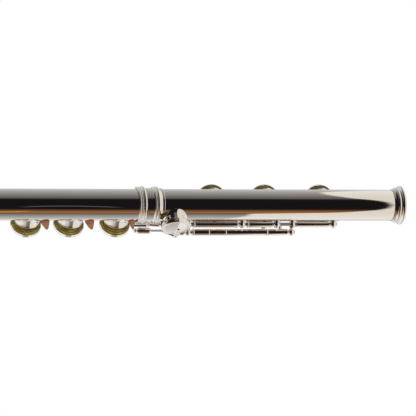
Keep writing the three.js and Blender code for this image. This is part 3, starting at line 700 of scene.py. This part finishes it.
def c_lever(s):
    strip(s, [(OYY, OZZ, 1.5), (*at(84, 20.6), 1.1)], 38.4, 41.0)
    bar_p(s, (39.6, 84, 20.6), (20.6, 109, 21.2), 1.2, 1.0)
    pin(s, 109, 21.2)
    kicker(s, 86.4)
    sleeve_bands(s, FOOT_OUT, (38.9, 49.0, 60.0, 87.2))


key("low_c_lever", FOOT_OUT, [], 38.1, 87.9, 0, more=c_lever)


def b_lever(s):
    s.bar((26.0, OYY, OZZ), (105.6, OYY, OZZ), STEEL_R, STEEL_R)
    s.ball((28.8, OYY, OZZ), 2.4, 40)
    s.bar((88.3, OYY, OZZ), (101.0, OYY, OZZ), HINGE_R, HINGE_R)
    s.bar((28.8, OYY, OZZ), (32.8, OYY, OZZ), HINGE_R, HINGE_R)
    strip(s, [(OYY, OZZ, 1.5), (*at(79, 22.4), 1.0)], 27.0, 29.6)
    bar_p(s, (28.4, 79, 22.4), (20.6, 95.5, 22.5), 1.1, 1.0)
    pin(s, 95.5, 22.5)
    kicker(s, 97.6)


key("low_b_lever", FOOT_OUT, [], 0, 0, 0, more=b_lever, core=True)
for nm, phi, r in (("low_c_roller", 109, 21.2), ("low_b_roller", 95.5, 22.5)):
    s = Shape()
    s.turned([(4.6, 0.95), (4.6, 1.6), (4.9, 1.85), (5.5, 2.0), (12.2, 2.0), (12.75, 1.85), (13.0, 1.6), (13.0, 0.95)], 40, True, at(phi, r))
    make(nm + "_metal", s, nm, SK, (nm,))

# ------------------------------------------------------------------ ribs, posts and steels
def post(s, x, line, r=2.5, base=TUBE_R + 0.6, slot_side=0, bore=False):
    y, z = at(*line)
    fy, fz = at(line[0], base)
    ny, nz = at(line[0], 1)
    fr = stand(x, line[0])
    top = line[1]
    s.mat = 0
    s.lathe([(2.5, base - 0.6), (2.55, base + 0.25), (2.1, base + 0.5), (1.55, base + 1.0), (1.25, base + 1.7), (1.2, top - r + 0.35), (1.5, top - r + 0.8)], 36, fr)
    if bore:
        # a ball bored through, drawn as a closed ring with a round outer face
        n = 14
        a0 = math.asin(min(0.95, (HINGE_R + 0.3) / r))
        pts = []
        for i in range(n + 1):
            a = a0 + (math.pi - 2 * a0) * i / n
            pts.append((x - r * math.cos(a), r * math.sin(a)))
        pts += [(x + r * math.cos(a0), HINGE_R + 0.3), (x - r * math.cos(a0), HINGE_R + 0.3)]
        s.turned(pts, 40, True, (y, z))
    else:
        s.ball((x, y, z), r, 40)
        if slot_side:
            # slotted pivot screw let into the ball
            xs = x + slot_side * (r - 0.25)
            s.turned([(xs, 0), (xs, 1.25), (xs + slot_side * 0.28, 1.2), (xs + slot_side * 0.36, 1.05), (xs + slot_side * 0.36, 0)], 32, False, (y, z))
            s.mat = 1
            s.prism([(xs + slot_side * 0.3, y - 1.0, z - 0.16), (xs + slot_side * 0.3, y + 1.0, z - 0.16), (xs + slot_side * 0.3, y + 1.0, z + 0.16), (xs + slot_side * 0.3, y - 1.0, z + 0.16)], 0, (slot_side * 0.1, 0, 0))
            s.mat = 0


def spring_wire(s, x0, x1, line, side):
    """needle spring from a post along the tube to a catch on a key"""
    y, z = at(line[0] + side, line[1] - 1.1)
    s.mat = 2
    s.bar((x0, y, z), (x1, y * 1.01, z * 1.01), 0.32, 0.16, 10, 0.05)
    s.mat = 0


s = Shape()
strap(s, -276, -2.2, 163, 17)
post(s, -4.6, MAIN, 2.35, slot_side=1)
for x in (-57.4, -111.4, -203.4):
    post(s, x, MAIN)
post(s, -243.4, MAIN, slot_side=-1)
post(s, -273, TRILL, slot_side=-1)
post(s, -22.5, TRILL, slot_side=1)
for x in (-203.4, -111.4):
    post(s, x, TRILL, 3.0, bore=True)
for x0, x1 in ((-57.4, -40), (-57.4, -72), (-111.4, -99), (-111.4, -132), (-203.4, -186), (-203.4, -222), (-4.6, -20)):
    spring_wire(s, x0, x1, MAIN, 6)
make("main_rib_metal", s, "body", [SILVER_KEY, BLUED, BLUED], ("main_rib",))
s = Shape()
strap(s, -226, -170, THUMB[0], 13)
post(s, -223, THUMB, slot_side=-1)
post(s, -173, THUMB, slot_side=1)
spring_wire(s, -223, -205, THUMB, 5)
make("thumb_rib_metal", s, "body", [SILVER_KEY, BLUED, BLUED], ("thumb_rib",))
s = Shape()
strap(s, -156, -105, GSHARP[0], 13)
post(s, -153, GSHARP, slot_side=-1)
post(s, -108, GSHARP, slot_side=1)
spring_wire(s, -108, -124, GSHARP, 5)
make("g_sharp_rib_metal", s, "body", [SILVER_KEY, BLUED, BLUED], ("g_sharp_rib",))
for nm, line, x0, x1 in (("right_hand_steel", MAIN, -111.0, -2.9), ("left_hand_steel", MAIN, -245.4, -111.8), ("thumb_steel", THUMB, -225, -171), ("g_sharp_steel", GSHARP, -155, -106)):
    s = Shape()
    y, z = at(*line)
    s.bar((x0, y, z), (x1, y, z), STEEL_R, STEEL_R, 24)
    make(nm + "_bar", s, "body", [STEEL], (nm,))

s = Shape()
strap(s, 16.9, 134, 79, 10)
post(s, 18.2, FOOT_IN, 2.2, slot_side=-1)
for x in (35.4, 103.6):
    post(s, x, FOOT_IN, 2.4)
    post(s, x, FOOT_OUT, 2.3, base=FOOT_IN[1] + 1.0, slot_side=1 if x > 60 else 0)
for x in (70.5, 93.4):
    post(s, x, FOOT_IN)
post(s, 130.8, FOOT_IN, slot_side=1)
for x0, x1 in ((70.5, 56), (93.4, 80), (130.8, 112), (35.4, 50)):
    spring_wire(s, x0, x1, FOOT_IN, -7)
make("foot_rib_metal", s, "foot", [SILVER_KEY, BLUED, BLUED], ("foot_rib",))
s = Shape()
s.bar((16.2, IY, IZ), (132.4, IY, IZ), STEEL_R, STEEL_R, 24)
make("foot_inner_steel_bar", s, "foot", [STEEL], ("foot_inner_steel",))

# ------------------------------------------------------------------ tubes and rings
s = tube_with_holes(BODY_TOP, 14.0, HOLES)
make("body_tube_metal", s, "body", [SILVER], ("body_tube",))
s = tube_with_holes(14.4, FOOT_END - 5.6, FOOT_HOLES)
make("foot_tube_metal", s, "foot", [SILVER], ("foot_tube",))

b = BARREL_TOP
prof = [(b, 10.1), (b, 11.3), (b + 0.25, 11.75)] + [(b + 0.4 + 3.0 * (1 - math.cos(math.pi * i / 10)) / 2, 11.6 + 0.65 * math.sin(math.pi * i / 10)) for i in range(11)] + [(b + 3.9, 11.2), (b + 4.6, 11.05)] + bead(b + 6, 11.05, 1.4, 0.4) + [(b + 7.2, 11.0), (b + 41.4, 11.0)] + bead(b + 42.8, 11.05, 1.4, 0.4) + bead(b + 45.3, 11.0, 2.4, 0.65) + [(b + 47.2, 10.85), (b + 48.2, 10.5), (b + 48.4, 10.1)]
s = Shape().turned(prof, 128)
make("barrel_metal", s, "body", [SILVER], ("barrel",))

# receiver: beads at the mouth, strong bead, plain sleeve, two beads at the end
prof = [(0, 10.12), (0, 10.9)] + bead(0.65, 10.9, 1.2, 0.5) + [(1.35, 10.8)] + bead(1.95, 10.8, 1.1, 0.42) + [(2.6, 10.7), (2.85, 10.85)] + bead(3.8, 10.9, 1.9, 0.86) + [(4.85, 10.72), (5.1, 10.5), (9.9, 10.46), (10.1, 10.6)] + bead(10.8, 10.7, 1.2, 0.65) + [(11.5, 10.75)] + bead(12.7, 10.75, 1.7, 0.82) + [(13.7, 10.62), (13.95, 10.47), (16.3, 10.46), (16.55, 10.28), (16.6, 10.12)]
s = Shape().turned(prof, 144)
make("foot_receiver_metal", s, "foot", [SILVER], ("foot_receiver",))

e = FOOT_END
prof = [(e - 5.3, 9.5), (e - 0.2, 9.5), (e, 9.7), (e, 11.3)] + bead(e - 1.25, 11.3, 2.3, 1.05)[::-1] + [(e - 2.55, 11.1)] + bead(e - 3.9, 10.95, 2.1, 0.3)[::-1] + [(e - 5.1, 10.75), (e - 6.0, 10.35), (e - 6.8, 10.12), (e - 7.35, 10.05), (e - 5.3, 10.04)]
s = Shape().turned(prof, 144)
make("foot_end_ring_metal", s, "foot", [SILVER], ("foot_end_ring",))

# head joint
s = Shape()
outer = [(CROWN + 17.5, 8.95), (-505, 8.98), (-400, 9.75), (BARREL_TOP - 2, 9.85), (HEAD_TENON, 9.85)]
N = 140


def lerp_r(x, pts):
    for (a, ra), (b_, rb) in zip(pts, pts[1:]):
        if a <= x <= b_:
            return ra + (rb - ra) * (x - a) / (b_ - a)
    return pts[-1][1] if x > pts[-1][0] else pts[0][1]


x0, x1, seg = CROWN + 17.5, HEAD_TENON, 128
xs = [x0 + (x1 - x0) * i / 210 for i in range(211)]
for off, flip in ((0, False), (-0.45, True)):
    verts = [polar(x, 360 * j / seg, lerp_r(x, outer) + off) for x in xs for j in range(seg)]
    faces = []
    for i in range(len(xs) - 1):
        for j in range(seg):
            xm, pm = (xs[i] + xs[i + 1]) / 2, 360 * (j + 0.5) / seg
            p = polar(xm, pm, 9)
            if p.z > 0 and ((xm - EMB) / 6.1) ** 2 + (p.y / 5.2) ** 2 < 0.93:
                continue
            faces.append([i * seg + j, (i + 1) * seg + j, (i + 1) * seg + (j + 1) % seg, i * seg + (j + 1) % seg])
    s.add(verts, faces, flip=not flip)
for x in (x0, x1):
    s.grid([[polar(x, 360 * j / seg, lerp_r(x, outer) + o) for j in range(seg)] for o in (-0.45, 0)])
make("head_tube_metal", s, "head", [SILVER], ("head_tube",))


def lip():
    """Lip plate: a curved shell with a rounded oval outline and an oval blow hole with a sharp edge and an undercut riser."""
    s = Shape()
    A, B, K = 31.5, 12.5, 96
    hole = lambda t, k=1.0: (6.1 * k * math.cos(t), 5.2 * k * math.sin(t))
    ups = [(-33, 10.0), (-24, 11.7), (-14, 13.3), (-6, 14.3), (6, 14.3), (14, 13.3), (24, 11.7), (33, 10.0)]

    def radius(u):
        u = max(-33, min(33, u))
        a = abs(u)
        return 14.35 - 4.35 * (a / 33) ** 1.7

    def P(u, v, up):
        r = radius(u) + up
        v = max(-r * 0.97, min(r * 0.97, v))
        return Vector((EMB + u, v, math.sqrt(max(r * r - v * v, 0.01))))

    def ring(f, up, inset=0.0):
        row = []
        for j in range(K):
            t = 2 * math.pi * j / K
            ou, ov = (A - inset) * math.cos(t), 0.6 + (B - inset) * math.sin(t)
            hu, hv = hole(t)
            row.append(P(hu + (ou - hu) * f, hv + (ov - hv) * f, up))
        return row

    rows = []
    for f in (0.0, 0.02, 0.06, 0.15, 0.3, 0.45, 0.6, 0.75, 0.88, 0.96):
        rows.append(ring(f, 1.0 - (0.12 if f == 0 else 0)))
    rows.append(ring(1, 0.98, 0.35))
    rows.append(ring(1, 0.75, 0.08))
    rows.append(ring(1, 0.5, 0.0))
    rows.append(ring(1, 0.2, 0.1))
    rows.append(ring(1, 0.02, 0.4))
    for f in (0.9, 0.7, 0.5, 0.35):
        rows.append(ring(f, 0.0))
    s.grid(rows)
    # riser wall inside and outside
    wall = []
    for k, z in ((1.0, None), (1.02, 12.5), (1.06, 10.5), (1.1, 8.8)):
        row = []
        for j in range(K):
            t = 2 * math.pi * j / K
            u, v = hole(t, k)
            row.append(P(u, v, 0.88) if z is None else Vector((EMB + u, v, z)))
        wall.append(row)
    s.grid(wall)
    out = []
    for k, z in ((1.42, 9.2), (1.3, 9.9), (1.25, 11.0), (1.28, 13.4)):
        row = []
        for j in range(K):
            t = 2 * math.pi * j / K
            u, v = hole(t, k)
            zz = z if z > 10 else math.sqrt(max(9.3 ** 2 - v * v, 0)) + (z - 9.2)
            row.append(Vector((EMB + u, v, zz)))
        out.append(row)
    s.grid(out)
    return s


make("lip_plate_metal", lip(), "head", [SILVER], ("lip_plate",))
x = CROWN
prof = [(x, 0.0), (x, 1.0), (x - 0.0, 7.6), (x + 0.35, 8.7), (x + 1.2, 9.55)] + [(x + 1.6 + 3.6 * (1 - math.cos(math.pi * i / 10)) / 2, 9.6 + 0.55 * math.sin(math.pi * i / 10)) for i in range(11)] + [(x + 5.8, 9.35), (x + 6.6, 9.25), (x + 13, 9.25)] + bead(x + 14.6, 9.35, 2.6, 0.75) + [(x + 16.6, 9.35), (x + 17.2, 9.2), (x + 17.2, 8.3), (x + 22, 8.3), (x + 22, 7.5), (x + 4.5, 7.5), (x + 4.5, 0.0)]
s = Shape().turned(prof, 112, False)
make("crown_metal", s, "crown", [SILVER], ("crown",))
s = Shape().turned([(-524, 0), (-524, 1.4), (-523.7, 1.65), (-508, 1.65), (-508, 6.4), (-507.8, 6.6), (-506.6, 6.6), (-506.4, 6.4), (-506.4, 1.65), (-491.6, 1.65), (-491.6, 7.9), (-491.4, 8.1), (-490.6, 8.1), (-490.4, 7.9), (-490.4, 0)], 64, False)
make("stopper_rod_metal", s, "stopper", [SILVER_KEY], ("stopper_rod",))
s = Shape().turned([(-506, 2.0), (-506, 8.1), (-505.6, 8.3), (-492.4, 8.35), (-492, 8.15), (-492, 2.0)], 64)
make("stopper_cork_ring", s, "stopper", [CORK], ("stopper_cork",))

# cork wedges between the right hand cups: hand cut, with a rounded back and a blunt point
def wedge(nm, x, w, d0, d1):
    out = [(-1, 10.4), (-0.68, 12.2), (-0.14, 14.1), (0.3, 15.4), (0.5, 15.6), (0.66, 15.2), (0.84, 13.2), (1, 10.2)]
    top = smooth_path([list(q) for q in out], 4)
    fr = stand(x, 52)
    s = Shape()
    L = 9
    rows = []
    for i in range(L):
        t = i / (L - 1)
        v = -(d0 + (d1 - d0) * t)
        e = 1 - 0.08 * abs(2 * t - 1) ** 3
        foot = math.sqrt((TUBE_R + 0.1) ** 2 - v * v)
        row = [fr @ Vector((a * w * e, v, max(foot + 0.1, 10 + (h - 10) * e))) for a, h in top]
        row = [fr @ Vector((top[0][0] * w * e, v, foot))] + row + [fr @ Vector((top[-1][0] * w * e, v, foot))]
        rows.append(row)
    s.grid(rows)
    k = len(rows[0])
    s.add(rows[0], [list(range(k))])
    s.add(rows[-1], [list(range(k))[::-1]])
    make(nm + "_piece", s, "body", [CORK], (nm,), angle=50, bevel=0.35)


wedge("cork_wedge_upper", -57.5, 2.75, 0.8, 5.6)
wedge("cork_wedge_middle", -29.0, 2.75, 0.8, 5.6)
wedge("cork_wedge_lower", -2.3, 2.1, 0.8, 3.0)

# ------------------------------------------------------------------ stage, light and camera
W = Vector((0, -0.788, 0.616)).normalized()  # the way the photo's camera looks, across the tube
U = Vector((0, -0.616, -0.788)).normalized()  # up in the photo

bm = bmesh.new()
bmesh.ops.create_grid(bm, x_segments=8, y_segments=8, size=6)
me = bpy.data.meshes.new("floor")
bm.to_mesh(me)
bm.free()
floor = bpy.data.objects.new("floor", me)
floor.location = (0, 0, -1.5)
bpy.context.scene.collection.objects.link(floor)
fm, fnt, fsh = material("floor_pale")
tc = node(fnt, "ShaderNodeTexCoord")
fn = node(fnt, "ShaderNodeTexNoise", {"Vector": tc.outputs["Object"], "Scale": 2.0})
fnt.links.new(ramp(fnt, fn.outputs["Fac"], [(0.3, (0.9, 0.9, 0.9)), (0.7, (0.94, 0.94, 0.94))]), fsh.inputs["Base Color"])
fsh.inputs["Roughness"].default_value = 0.9
me.materials.append(fm)
floor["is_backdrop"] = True
floor.visible_glossy = False

world = bpy.data.worlds.new("studio")
bpy.context.scene.world = world
world.use_nodes = True
nt = world.node_tree
for n in list(nt.nodes):
    nt.nodes.remove(n)
out = nt.nodes.new("ShaderNodeOutputWorld")
tc = node(nt, "ShaderNodeTexCoord")
D = tc.outputs["Generated"]


def dot(vec):
    return node(nt, "ShaderNodeVectorMath", {0: D, 1: tuple(vec)}, operation="DOT_PRODUCT").outputs["Value"]


def math_(op, a, b=0.0, c=0.0):
    return node(nt, "ShaderNodeMath", {0: a, 1: b, 2: c}, operation=op).outputs[0]


ca, cb = dot(-W), dot(U)
psi = math_("ARCTAN2", cb, ca)
fac = math_("MULTIPLY_ADD", psi, 0.5 / math.pi, 0.5)  # 0.5 faces the photo's camera, rising towards the photo's top
dx = dot((1, 0, 0))
g = lambda deg: 0.5 + deg / 360
bands = ramp(nt, fac, [
    (g(-179), lin(120)), (g(-168), lin(190)), (g(-160), lin(232, 229, 227)), (g(-147), lin(226, 222, 220)), (g(-112), lin(186, 181, 176)), (g(-78), lin(136, 129, 123)), (g(-70), lin(104, 97, 92)),
    (g(-64), lin(112, 92, 74)), (g(-58), lin(160, 115, 64)), (g(-48), lin(132, 85, 48)), (g(-40), lin(104, 66, 45)), (g(-35), lin(45, 34, 32)), (g(-28), lin(24, 21, 23)),
    (g(36), lin(24, 21, 23)), (g(43), lin(50, 46, 46)), (g(49), lin(100, 96, 94)), (g(60), lin(112, 108, 105)), (g(80), lin(140, 136, 132)), (g(110), lin(170, 166, 162)), (g(150), lin(204, 200, 196)), (g(160), lin(214)), (g(168), lin(180)), (g(179), lin(120)),
])
GAMMA, DIST, SCALE = 15.0 * RAD, 2.0, 1.586
F_PX = SCALE * DIST * 1000


def side(px):
    """how far along the tube a ray through this column of the picture points"""
    return (math.sin(GAMMA + math.atan((px - 208) / F_PX)),) * 3


limit = ramp(nt, fac, [(g(d), side(px)) for d, px in (
    (-179, 200), (-110, 235), (-90, 247), (-68, 250), (-60, 330), (-53, 350), (-37, 379), (-22, 389), (0, 393), (22, 388), (37, 376), (53, 352), (64, 342), (76, 332), (90, 324), (112, 321), (125, 345), (150, 380), (179, 385),
)])
lim = node(nt, "ShaderNodeSeparateColor", {0: limit}).outputs[0]
edge = math_("SUBTRACT", dx, lim)
mask = node(nt, "ShaderNodeMapRange", {"Value": edge, "From Min": -0.0012, "From Max": 0.0012, "To Min": 0.0, "To Max": 1.0}, clamp=True).outputs[0]
cream = ramp(nt, fac, [(g(-179), lin(200)), (g(-120), lin(240, 236, 230)), (g(-60), lin(230, 221, 207)), (g(0), lin(226, 219, 210)), (g(60), lin(226, 219, 205)), (g(120), lin(240, 236, 230)), (g(179), lin(200))])
mix = node(nt, "ShaderNodeMix", {0: mask, 6: bands, 7: cream}, data_type="RGBA")
left = ramp(nt, fac, [(g(-179), lin(238)), (g(-100), lin(240, 238, 234)), (g(-82), lin(214, 208, 200)), (g(-64), lin(160, 115, 64)), (g(-42), lin(60, 44, 34)), (g(-28), lin(24, 21, 23)), (g(62), lin(30, 27, 27)), (g(96), lin(62, 58, 56)), (g(128), lin(190, 187, 182)), (g(179), lin(238))])
away = node(nt, "ShaderNodeMapRange", {"Value": dx, "From Min": -0.12, "From Max": -0.3, "To Min": 0.0, "To Max": 1.0}, clamp=True).outputs[0]
room = node(nt, "ShaderNodeMix", {0: away, 6: mix.outputs[2], 7: left}, data_type="RGBA")
# a faint strip of light low in the dark part of the room, and a warm one under it
def glint(base, mid, bend, width, x_in, x_out, x_mid, colour):
    span = side(x_out)[0] - side(x_mid)[0]
    t = math_("DIVIDE", math_("SUBTRACT", dx, side(x_mid)[0]), span)
    off = math_("ABSOLUTE", math_("ADD", math_("ADD", math_("MULTIPLY", psi, 180 / math.pi), -mid), math_("MULTIPLY", math_("MULTIPLY", t, t), -bend)))
    across = node(nt, "ShaderNodeMapRange", {"Value": off, "From Min": 0.0, "From Max": width, "To Min": 1.0, "To Max": 0.0}, clamp=True).outputs[0]
    start = node(nt, "ShaderNodeMapRange", {"Value": dx, "From Min": side(x_in)[0], "From Max": side(x_in + 16)[0], "To Min": 0.0, "To Max": 1.0}, clamp=True).outputs[0]
    stop = node(nt, "ShaderNodeMapRange", {"Value": dx, "From Min": side(x_out - 16)[0], "From Max": side(x_out)[0], "To Min": 1.0, "To Max": 0.0}, clamp=True).outputs[0]
    f = math_("MULTIPLY", math_("MULTIPLY", across, start), stop)
    return node(nt, "ShaderNodeMix", {0: f, 6: base, 7: (*colour, 1)}, data_type="RGBA").outputs[2]


shown = glint(room.outputs[2], -10.5, -11.0, 4.2, 18, 124, 66, lin(92, 100, 94))
shown = glint(shown, -55.0, 9.0, 5.0, -60, 34, 4, lin(214, 158, 84))
refl = node(nt, "ShaderNodeBackground", {"Color": shown, "Strength": 1.0})
cam_bg = node(nt, "ShaderNodeBackground", {"Color": (1, 1, 1, 1), "Strength": 1.0})
lp = node(nt, "ShaderNodeLightPath")
ms = node(nt, "ShaderNodeMixShader", {0: lp.outputs["Is Camera Ray"], 1: refl.outputs[0], 2: cam_bg.outputs[0]})
nt.links.new(ms.outputs[0], out.inputs[0])


def area(name, loc, aim, size, energy, color=(1, 1, 1)):
    l = bpy.data.lights.new(name, "AREA")
    l.size, l.energy, l.color = size, energy, color
    o = bpy.data.objects.new(name, l)
    o.location = loc
    o.rotation_euler = (Vector(aim) - Vector(loc)).to_track_quat("-Z", "Y").to_euler()
    bpy.context.scene.collection.objects.link(o)
    o.visible_glossy = False
    o.visible_camera = False
    return o


C = Vector(((46.8 + OX) / 1000, OY / 1000, OZ / 1000))
area("key_light", C - W * 1.0 + U * -0.5 + Vector((-0.4, 0, 0)), C, 0.8, 14)
area("fill_light", C + Vector((0.3, 0.5, 0.9)), C, 1.0, 10)

look = (W * math.cos(GAMMA) + Vector((1, 0, 0)) * math.sin(GAMMA)).normalized()
cam_data = bpy.data.cameras.new("camera")
cam = bpy.data.objects.new("camera", cam_data)
bpy.context.scene.collection.objects.link(cam)
bpy.context.scene.camera = cam
cam_data.sensor_width = 36
cam_data.lens = F_PX / 416 * 36
cam_data.clip_start, cam_data.clip_end = 0.01, 50
target = C - U * 0.00196
right = look.cross(U).normalized()
up = (right.cross(look) - right * 0.0017).normalized()
right = look.cross(up).normalized()
back = -look
M = Matrix(((right.x, up.x, back.x, 0), (right.y, up.y, back.y, 0), (right.z, up.z, back.z, 0), (0, 0, 0, 1)))
M.translation = target - look * DIST
cam.matrix_world = M

bpy.context.scene.view_settings.view_transform = "Standard"

{"cad": [list(map(float, p)) for p in CAD_BOX], "visual": [list(map(float, p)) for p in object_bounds()]}
